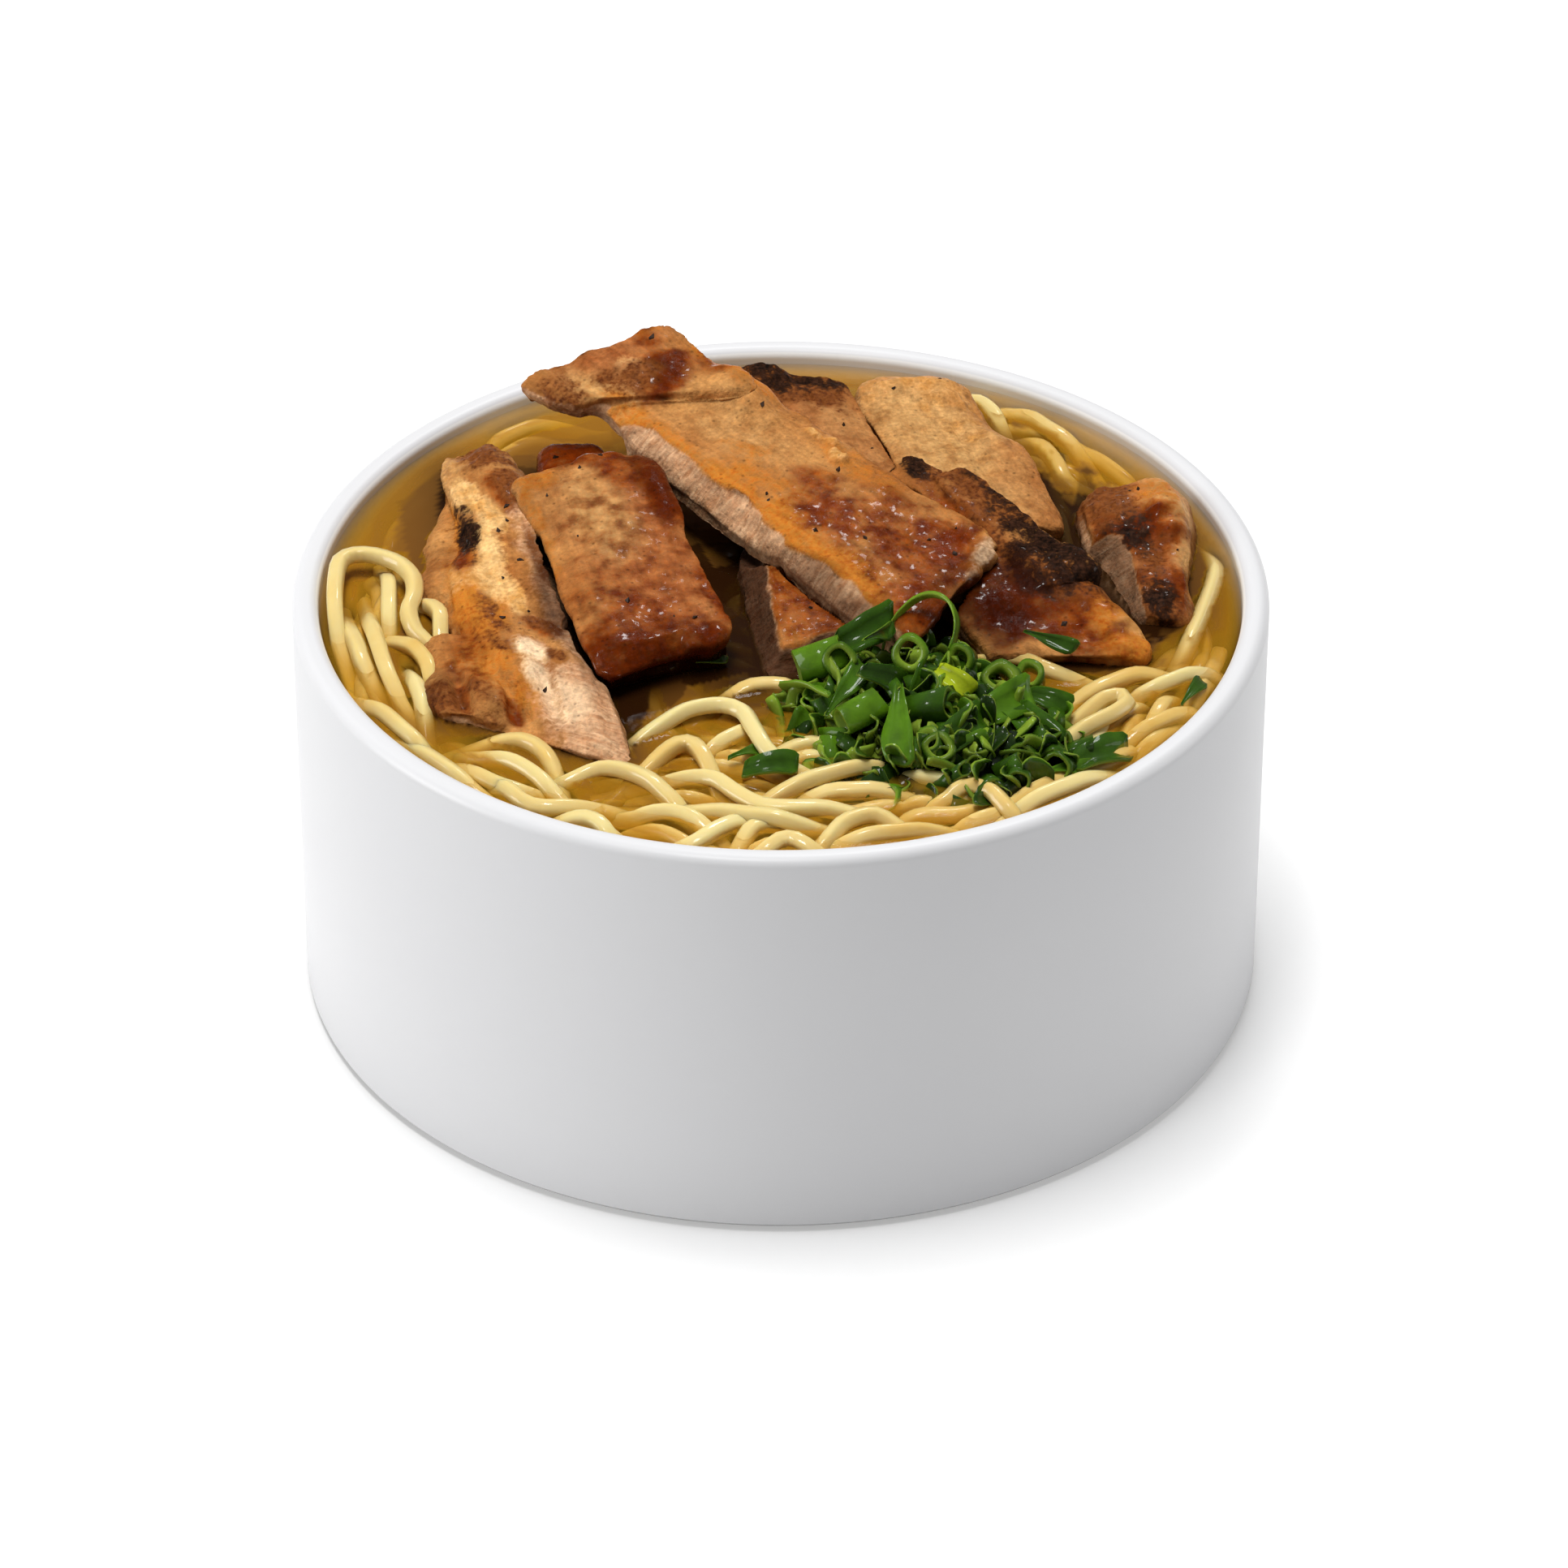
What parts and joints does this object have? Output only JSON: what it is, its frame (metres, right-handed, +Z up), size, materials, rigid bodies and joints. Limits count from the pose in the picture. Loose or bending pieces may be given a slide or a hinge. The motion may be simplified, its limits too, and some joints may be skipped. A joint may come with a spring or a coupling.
{
  "type": "bowl of barbecue chicken noodle soup",
  "caption": "Straight-sided white bowl of noodle soup topped with sliced barbecue chicken and chopped spring onion.",
  "frame": {"origin": "centre of the bowl's foot, at the level of the table", "axes": "+Z up, -Y towards the eater, where the noodles and the spring onion show, +X to the eater's right"},
  "size_m": [0.16, 0.16, 0.0901],
  "materials": {
    "bowl": "satin",
    "broth": "gloss",
    "noodles": "satin",
    "chicken": "satin",
    "spring_onion": "satin"
  },
  "bodies": {
    "root": {"bowl": "bowl", "broth": "broth", "noodles": "noodles", "chicken_top": "chicken", "chicken_left": "chicken", "chicken_right": "chicken", "chicken_back_middle": "chicken", "chicken_far_left": "chicken", "chicken_back_right": "chicken", "chicken_middle": "chicken", "chicken_rim_right": "chicken", "chicken_tucked": "chicken", "spring_onion": "spring_onion"}
  },
  "joints": []
}
